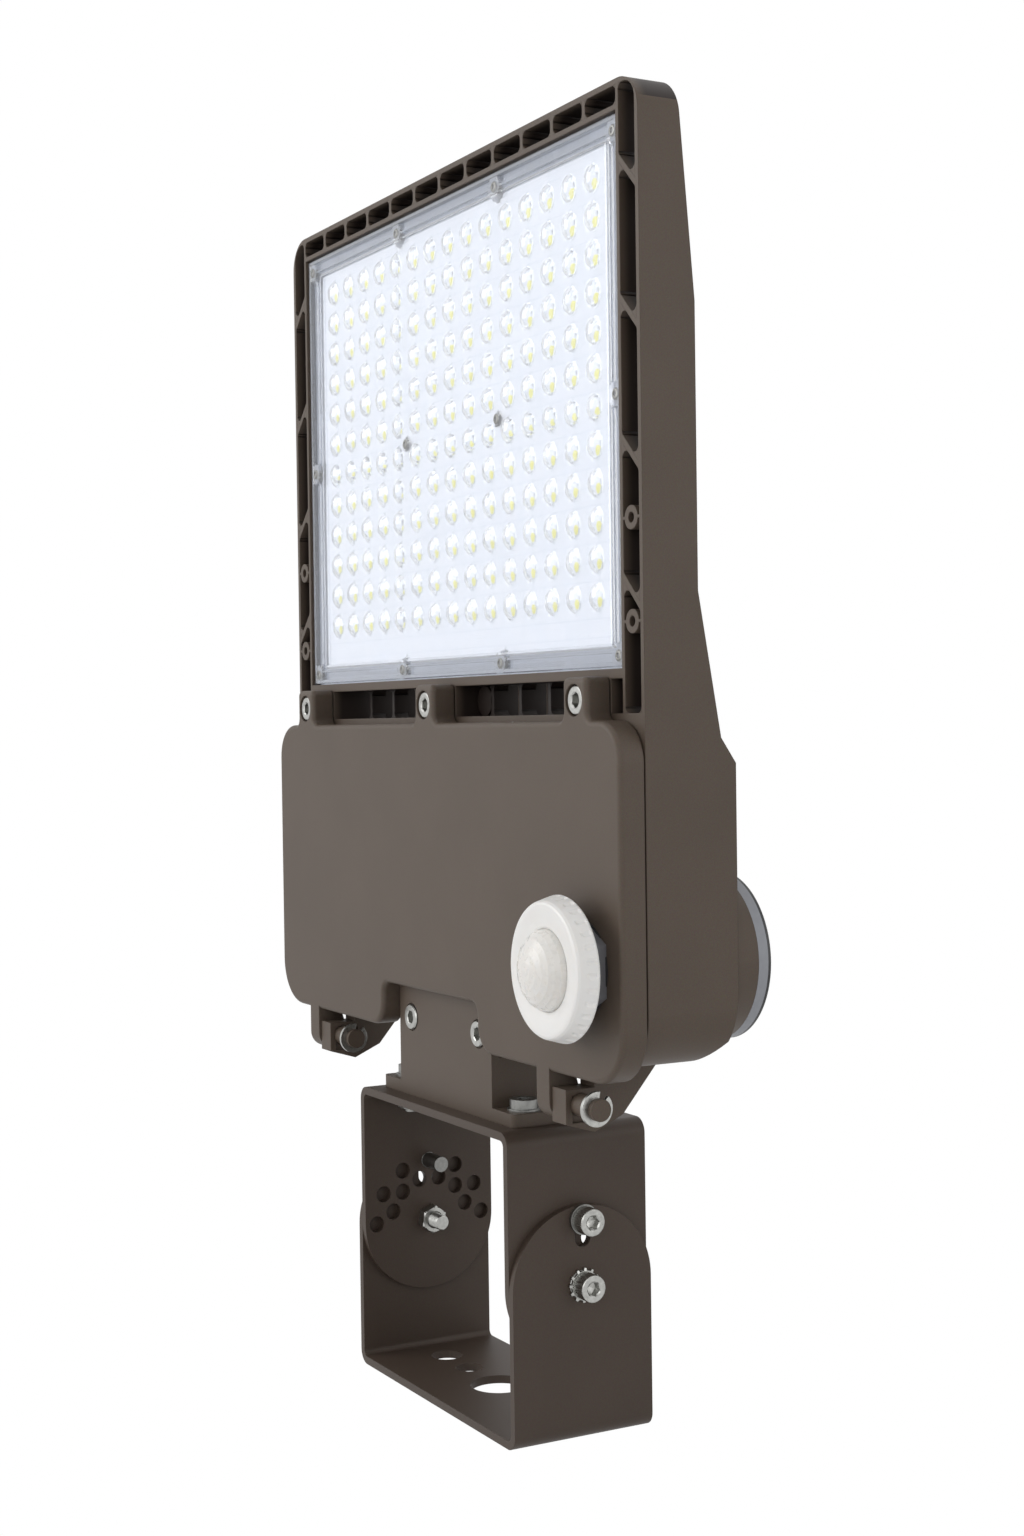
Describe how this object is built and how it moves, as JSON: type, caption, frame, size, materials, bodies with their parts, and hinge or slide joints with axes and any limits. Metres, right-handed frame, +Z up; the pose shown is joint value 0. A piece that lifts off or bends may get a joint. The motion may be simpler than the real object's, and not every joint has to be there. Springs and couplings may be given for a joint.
{
  "type": "area light",
  "caption": "Shoebox area light on a slotted yoke bracket, with a hinged driver cover, motion sensor and photocontrol receptacle.",
  "frame": {"origin": "centre of the wire hole in the underside of the lower yoke's base", "axes": "+X to the right seen from the lens side, +Y to the back (the lens faces -Y), +Z up"},
  "size_m": [0.369, 0.1079, 0.611],
  "materials": {
    "housing": "satin",
    "bracket": "satin",
    "fastener": "satin",
    "lens": "gloss",
    "rubber": "matte",
    "grey_rubber": "matte",
    "board": "satin",
    "led": "satin",
    "case": "satin",
    "white_plastic": "satin",
    "dome": "satin",
    "grey_plastic": "satin",
    "black_plastic": "satin"
  },
  "bodies": {
    "base": {"lower_yoke": "bracket", "pivot_bolts": "fastener", "star_washers": "fastener", "pivot_nuts": "fastener", "lock_bolts": "fastener", "lock_washers": "fastener"},
    "head": {"upper_yoke": "bracket", "lock_bolt_ends": "fastener", "mount_arm": "housing", "arm_screws": "fastener", "arm_bolts": "fastener", "arm_washers": "fastener", "arm_nuts": "fastener", "housing": "housing", "hinge_pins": "housing", "pin_rings": "fastener", "cover_gasket": "rubber", "lens": "lens", "lens_gasket": "rubber", "led_board": "board", "leds": "led", "lens_screws": "fastener", "board_screws": "fastener", "receptacle_gasket": "grey_rubber", "photocontrol_receptacle": "black_plastic", "led_driver": "case", "driver_screws": "fastener", "surge_protector": "black_plastic", "terminal_block": "white_plastic"},
    "cover": {"driver_cover": "housing", "cover_screws": "fastener", "sensor_body": "white_plastic", "sensor_dome": "dome", "sensor_nut": "grey_plastic", "sensor_locknut": "grey_plastic"}
  },
  "joints": [
    {"name": "tilt", "type": "hinge", "parent": "base", "child": "head", "pos_m": [0, 0, 0.0735], "axis": [1, 0, 0], "range_deg": [-90, 90]},
    {"name": "cover_hinge", "type": "hinge", "parent": "head", "child": "cover", "pos_m": [0, -0.029, 0.1685], "axis": [1, 0, 0], "range_deg": [0, 90]}
  ]
}
